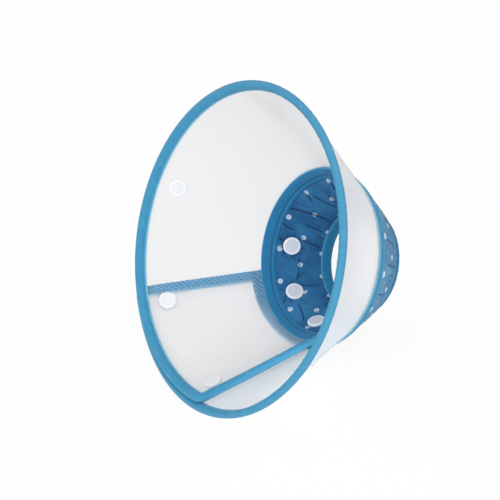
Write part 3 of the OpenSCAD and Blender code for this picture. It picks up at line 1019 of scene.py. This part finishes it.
# Folds round each snap: how many, where they start, and how far they reach, sway and sink
PLEATS = 7
PLEAT_START = 1
PLEAT_REACH = (3, 4)
PLEAT_SWAY = 0.3
PLEAT_DEPTH = 0.55
GOLDEN = 0.618

# Section of a fold: its two sides, its line of painted shade, the lips beside it, and how it fades at its
# ends
FOLD_STEEP = 0.4
FOLD_GENTLE = 1.2
FOLD_LINE = 0.45
FOLD_LIP = 2.4
LIP_SHARE = 0.3
LIP_SPREAD = 1.3
FADE_IN = (-0.06, 0.1)
FADE_OUT = (0.72, 1.06)
SHADE_LINE_STRENGTH = 1.3


def snap_creases():
    """Short folds that run out from under each neck snap."""
    creases = []
    for turn, depth in NECK_SPOTS:
        for k in range(PLEATS):
            way = 2 * math.pi * (k + PLEAT_SWAY * math.sin(5 * k)) / PLEATS
            reach = CAP_D / 2 + PLEAT_REACH[0] + PLEAT_REACH[1] * ((k * GOLDEN) % 1)
            ends = []
            for r in (CAP_D / 2 - PLEAT_START, reach):
                arc_turn = math.degrees(r * math.cos(way) / wall_r(depth))
                ends += [turn + arc_turn, depth + r * math.sin(way)]
            creases.append((*ends, 0.0, PLEAT_DEPTH))
    return creases


def loose_creases(seed, first, last):
    """Creases across the band between two angles, at uneven steps."""
    rng = np.random.default_rng(seed)
    creases = []
    turn = first
    while turn < last:
        start, reach = rng.uniform((BAND_START - 4, 17), (BAND_MID - 3, 36))
        lean, bow, depth = rng.uniform((-9, -2.0, 0.6), (9, 2.0, 1.0))
        creases.append((turn, start, turn + lean, start + reach, bow, depth))
        turn += rng.uniform(9, 19)
    return creases


def fine_creases(seed, count, first, last):
    """Small shallow wrinkles all over the band."""
    rng = np.random.default_rng(seed)
    creases = []
    for _ in range(count):
        turn, s = rng.uniform((first, BAND_START), (last, BAND_END))
        reach, lean, bow, depth = rng.uniform((5, -9, -1.0, 0.12), (13, 9, 1.0, 0.34))
        creases.append((turn, s, turn + lean, s + reach, bow, depth))
    return creases


def crease_shape(t, s, creases):
    """How deep the creases fold the fabric in, below 0 on the lips beside them, and their lines of painted
    shade.
    """
    r = wall_r(BAND_MID)
    total = 0 * t
    line = 0 * t
    for turn0, s0, turn1, s1, bow, depth in creases:
        run = np.array([math.radians(turn1 - turn0) * r, s1 - s0])
        size = np.hypot(*run)
        u, v = np.radians(t - turn0) * r, s - s0
        q = (u * run[0] + v * run[1]) / size**2
        x = (u * run[1] - v * run[0]) / size - bow * 4 * q * (1 - q)
        taper = smooth(q, *FADE_IN) * (1 - smooth(q, *FADE_OUT))
        fold = np.exp(-(np.where(x > 0, x / FOLD_GENTLE, -x / FOLD_STEEP) ** 1.3))
        lip = LIP_SHARE * np.exp(-(((np.abs(x) - FOLD_LIP) / LIP_SPREAD) ** 2))
        total = total + depth * taper * (fold - lip)
        line = np.maximum(line, depth * taper * np.exp(-((x / FOLD_LINE) ** 2)))
    return total, line


def make_band(kind, facing, material, creases, spare, loose, fine):
    """The lining or the cover, in two halves. loose and fine go to loose_creases and fine_creases."""
    creases = creases + snap_creases() + loose_creases(*loose) + fine_creases(*fine)
    t, s, face = (refine(grid, DOUBLED) for grid in puffed_face(facing, spare))
    outward = wall(t, s, 1.0) - wall(t, s, 0.0)
    free = smooth(snap_distance(t, s), CAP_D / 2 - CAP_CLEAR, CAP_D / 2 + CAP_CLEAR)
    edge = np.minimum(s - BAND_FIRST, BAND_END - s)
    free = free * smooth(edge, 0, EDGE_CLEAR)
    depth, line = (values * free for values in crease_shape(t, s, creases))
    face = face - facing * outward * depth[..., None]
    back = wall(t[[-1, 0]], s[[-1, 0]], 0.0)
    places = above_floor(np.concatenate([face, back]))
    crease_shade = np.concatenate([np.clip(SHADE_LINE_STRENGTH * line, 0, 1), 0 * s[[-1, 0]]])
    u = np.radians(t) * wall_r(BAND_MID)
    v_rows = np.concatenate([s, s[[-1, 0]] + 2, s[:1] + 4])
    uv = np.stack([np.concatenate([u, u[[-1, 0, 0]]]), v_rows], -1)
    top = 2 ** DOUBLED.count(1) * (BAND_COLS - 1)
    parts = {"outer": (slice(0, top + 1), 0), "inner": (slice(top, None), t.shape[1] - 1 - top)}
    for side, half in HALVES.items():
        columns, end = parts[side]
        obj = tube(f"{kind}_{side}", places[:, columns], uv[:, columns], end, SHARP_FABRIC)
        carry(obj, "crease_shade", crease_shade[:, columns])
        dress(obj, material, half=half, replaces=panel_nodes(side, f"band_{kind}", "band_padding"))


def make_bands():
    listed = [(t0 + TURN, s0, t1 + TURN, *rest) for t0, s0, t1, *rest in LINING_CREASES]
    make_band("lining", -1, LINING, listed, spare=0.04, loose=(5, -245, 20), fine=(6, 80, -398, 20))
    make_band("cover", 1, COVER, [], spare=0.03, loose=(8, -398, 24), fine=(9, 60, -398, 24))


# Snaps


def wall_frame(t, s):
    """Matrix of a place on the wall: x toward the rim, z outward."""
    origin, outward, rimward = (Vector(wall(t, s + ds, n)) for ds, n in ((0, 0), (0, 1), (-1, 0)))
    z = (outward - origin).normalized()
    x = (rimward - origin).normalized()
    turn = Matrix((x, z.cross(x), z)).transposed().to_4x4()
    return Matrix.Translation(origin) @ turn


# Section of a cap, from its rim inward: rounded edge, shoulder, raised ring, dish, and the dish's
# depth at three radii
EDGE_R = 0.3
SHOULDER = (0.8, 0.5)
RING_AT = 1.2
RING_R = (0.3, 0.14)
DISH_AT = 1.7
DISH_R = (0.2, 0.12)
DISH_DROPS = ((3.0, 0.27), (1.3, 0.28), (0, 0.28))


def cap_outline(grip, height):
    """Half section of a snap cap: post, flat underside, rounded edge, raised ring, shallow dish."""
    r = CAP_D / 2
    post = [(0, -grip - POST_REACH), (POST_D / 2, -grip - POST_REACH), (POST_D / 2, 0)]
    edge = arc((r - EDGE_R, EDGE_R), (EDGE_R, EDGE_R), -90, 0, 4)
    shoulder = arc((r - SHOULDER[0], SHOULDER[1]), (SHOULDER[0], height - SHOULDER[1]), 0, 90, 8)
    ring = arc((r - RING_AT, height - RING_R[1]), RING_R, 90, 180, 4)
    dish = arc((r - DISH_AT, height - RING_R[1]), DISH_R, 270, 200, 4)[::-1]
    middle = [(at, height - drop) for at, drop in DISH_DROPS]
    return np.concatenate([post, edge, shoulder, ring, dish, middle])


def lathe(bm, outline, matrix, steps=64):
    radius = bm.verts.layers.float["radius"]
    turn = np.radians(np.arange(steps) * 360 / steps)
    rings = []
    for r, z in outline:
        ring = []
        for angle in turn if r else turn[:1]:
            place = Vector((r * math.cos(angle), r * math.sin(angle), z)) * MM
            ring.append(bm.verts.new(matrix @ place))
            ring[-1][radius] = r
        rings.append(ring)
    for low, high in zip(rings, rings[1:]):
        for i in range(steps):
            k = (i + 1) % steps
            corners = [low[i % len(low)], low[k % len(low)], high[k % len(high)], high[i % len(high)]]
            bm.faces.new(list(dict.fromkeys(corners)))


def make_caps(name, spots, grip, inside, body, material):
    """Snap caps on the wall, inside it or outside it."""
    bm = bmesh.new()
    bm.verts.layers.float.new("radius")
    for t, s in spots:
        matrix = wall_frame(t, s)
        if inside:
            matrix = matrix @ Matrix.Rotation(math.pi, 4, "X")
        matrix = matrix @ Matrix.Translation((0, 0, grip / 2 * MM))
        lathe(bm, cap_outline(grip, CAP_T if inside else STUD_CAP_T), matrix)
    mesh = bpy.data.meshes.new(name)
    bm.to_mesh(mesh)
    bm.free()
    finish_mesh(mesh, SHARP_CAP)
    dress(link(f"{name}_moulded", mesh), material, body=body, replaces=[name])


def make_snaps():
    rise = CAP_D**2 * COS / 8 / (wall_r(RIM_SNAP_DEPTH) - SPIRAL)
    sheet_grip = SHEET_T + 2 * FIT
    band_grip = NECK_GRIP + 2 * FIT
    rim = [(t, RIM_SNAP_DEPTH) for t in RIM_SNAPS]
    rim_stud = [(RIM_SNAP, RIM_SNAP_DEPTH + LAP_SLIDE)]
    make_caps("rim_snap_caps", rim, sheet_grip + 2 * rise, True, "inner_wing", RIM_SNAP_PLASTIC)
    make_caps("neck_snap_caps", NECK_SPOTS[:-1], band_grip, True, "inner_wing", NECK_SNAP_PLASTIC_SHADED)
    make_caps("rim_stud_cap", rim_stud, sheet_grip, False, "outer_wing", RIM_SNAP_PLASTIC)
    make_caps("neck_stud_cap", NECK_SPOTS[-1:], band_grip, False, "outer_wing", NECK_SNAP_PLASTIC_SHADED)
    for node in ("rim_snap_sockets", "neck_snap_sockets", "rim_stud", "neck_stud"):
        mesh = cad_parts[node].data
        mesh.materials.clear()
        mesh.materials.append(RIM_SNAP_PLASTIC)


# Stitches

STITCH_L = 2.3
STITCH_GAP = 1.1
STITCH_R = 0.16
STITCH_SIDES = 6
STITCH_RINGS = 5
STITCH_TAPER = 0.94
STITCH_SINK = 0.2
STITCH_DIVE = 0.8
STITCH_MAP = (0.55, 0.2)
LINE_STEPS = 200
SEAM_LINE = SEAM_GROOVE - 1.0
SEAM_LINE_H = TAPE_H * 0.9
NECK_LINE_INSET = 1.0


def on_line(u, values, at):
    """A place or a way on a line, at a distance along it."""
    return np.stack([np.interp(at, u, values[:, k]) for k in range(3)])


def stitch_places(u, line, above, at):
    """Rings of places round one stitch, which rises from the fabric and dives back into it."""
    share = np.linspace(-1, 1, STITCH_RINGS)[:, None, None]
    turn = np.radians(np.arange(STITCH_SIDES) * 360 / STITCH_SIDES)[:, None]
    radius = STITCH_R * np.sqrt(1 - STITCH_TAPER * share**2)
    start, middle, end = (on_line(u, line, at + way * STITCH_L / 2) for way in (-1, 0, 1))
    out = on_line(u, above, at)
    axis = (end - start) / np.linalg.norm(end - start)
    across = np.cross(out, axis)
    rise = np.sin(turn) - STITCH_SINK - STITCH_DIVE * share**2
    ring = (across * np.cos(turn) + out * rise) * radius
    return (middle + (axis * share * STITCH_L / 2 + ring) * MM).reshape(-1, 3)


def stitch_faces():
    """Faces of one stitch, and the map of their corners along it and round it."""
    first, *others = quads(STITCH_RINGS - 1, STITCH_SIDES)
    ring, side = (np.stack(values, -1).ravel() for values in zip(first, *reversed(others)))
    faces = (ring * STITCH_SIDES + side % STITCH_SIDES).reshape(-1, 4).tolist()
    end = np.arange(STITCH_SIDES)
    faces += [end[::-1].tolist(), (end + (STITCH_RINGS - 1) * STITCH_SIDES).tolist()]
    corners = np.concatenate([np.stack([ring, side], -1), np.zeros((2 * STITCH_SIDES, 2))])
    return faces, corners * STITCH_MAP


def thread(name, lines):
    """Rows of stitches along lines that lie on the fabric, as one piece."""
    stitches = []
    for line, above in lines:
        u = lengths(line) / MM
        stops = np.arange(STITCH_L, u[-1] - STITCH_L, STITCH_L + STITCH_GAP)
        stitches += [stitch_places(u, line, above, at) for at in stops]
    faces, corners = stitch_faces()
    size = STITCH_SIDES * STITCH_RINGS
    polygons = [[k * size + corner for corner in face] for k in range(len(stitches)) for face in faces]
    corner_uv = np.tile(corners, (len(stitches), 1))
    return build(name, np.concatenate(stitches), polygons, corner_uv, SHARP_FABRIC)


def stitch_line(t, s, n, facing):
    """A line of places on the wall and the way that its stitches face."""
    line = wall(t, s, n)
    above = wall(t, s, n + facing) - line
    return line, above / np.linalg.norm(above, axis=-1, keepdims=True)


def make_stitches(side, half):
    d = SPREAD_W - STITCH_INSET
    t, s = binding_path(half, d)
    inside, outside = (tape_face(d, v, SHEET_T / 2 + FIT) for v in binding_thickness(side, t, s))
    shown = t < (LAP_TURNS[0] if side == "outer" else 0)
    seam_turn = np.linspace(TOP, float(edge_turn(half, SEAM_LINE, TAPE_W)), LINE_STEPS)
    neck_turn = np.linspace(TOP, float(edge_turn(half, WALL_DEPTH - d, NECK_LINE_INSET)), LINE_STEPS)
    neck_face = tape_face(np.array(d), TAPE_H, NECK_GRIP / 2 + FIT)
    lines = [
        stitch_line(t[shown], s[shown], -inside[shown], -1),
        stitch_line(t, s, outside, 1),
        stitch_line(seam_turn, SEAM_LINE, -SEAM_LINE_H, -1),
        stitch_line(neck_turn, WALL_DEPTH - d, -neck_face, -1),
        stitch_line(neck_turn, WALL_DEPTH - d, neck_face, 1),
    ]
    dress(thread(f"stitches_{side}", lines), THREAD, half=half)


# Studio: a white floor, two soft lamps, and even light all round

CAMERA_AT = (742.1, -310.7, 1120.7)
CAMERA_AHEAD = (-0.56829, 0.22648, -0.79105)
LENS = 142.4
SENSOR = 36


def make_camera():
    data = bpy.data.cameras.new("camera")
    data.lens = LENS
    data.sensor_width = SENSOR
    data.clip_end = 20
    camera = link("camera", data)
    ahead = Vector(CAMERA_AHEAD).normalized()
    right = ahead.cross(Vector((0, 0, 1))).normalized()
    turn = Matrix((right, right.cross(ahead), -ahead)).transposed().to_4x4()
    camera.matrix_world = Matrix.Translation(Vector(CAMERA_AT) * MM) @ turn
    bpy.context.scene.camera = camera


# Rays that show the background itself: from the camera, off gloss or through glass
SEEN = ("Camera", "Glossy", "Transmission")
FLOOR_WHITE = 0.9
FLOOR_GREY = 0.86
FLOOR_HALF = 6.0


def make_floor():
    mesh = bpy.data.meshes.new("floor")
    corners = [(x * FLOOR_HALF, y * FLOOR_HALF, 0) for x, y in ((-1, -1), (1, -1), (1, 1), (-1, 1))]
    mesh.from_pydata(corners, [], [(0, 1, 2, 3)])
    floor = link("floor", mesh)
    material, m = new_material("floor")
    m.set(Base_Color=(FLOOR_GREY, FLOOR_GREY, FLOOR_GREY, 1), Roughness=0.9, Specular_IOR_Level=0.0)
    m.mix_in(m.math("MULTIPLY", m.rays(*SEEN), FLOOR_WHITE), "ShaderNodeEmission", (1, 1, 1, 1))
    mesh.materials.append(material)


WORLD_LIGHT = 0.7


def make_world():
    """White where it is seen, and a plain level of light on the object."""
    world = bpy.data.worlds.new("studio")
    bpy.context.scene.world = world
    w = Nodes(world, "Background")
    strength = w.math("MULTIPLY_ADD", w.rays(*SEEN), 1 - WORLD_LIGHT, WORLD_LIGHT)
    w.set(Color=(1, 1, 1, 1), Strength=strength)


# Lamps: where each one is, its width and its power, and what they point at, in metres and watts
LAMPS = {"key": ((0.1, -1.3, 1.6), 1.4, 12), "fill": ((1.5, 0.5, 1.2), 1.2, 14)}
LAMP_TARGET = (0, 0, 0.09)


def area_light(name, place, size, power):
    data = bpy.data.lights.new(name, "AREA")
    data.shape = "DISK"
    data.size = size
    data.energy = power
    lamp = link(name, data)
    lamp.location = place
    lamp.rotation_euler = (Vector(LAMP_TARGET) - lamp.location).to_track_quat("-Z", "Y").to_euler()


def make_studio():
    make_camera()
    make_floor()
    make_world()
    for name, settings in LAMPS.items():
        area_light(name, *settings)
    bpy.context.scene.view_settings.view_transform = "Standard"


for side_name, half_strip in HALVES.items():
    for make in (make_sheet, make_binding, make_seam_tapes, make_neck_tape, make_stitches):
        make(side_name, half_strip)
make_bands()
make_snaps()
make_studio()
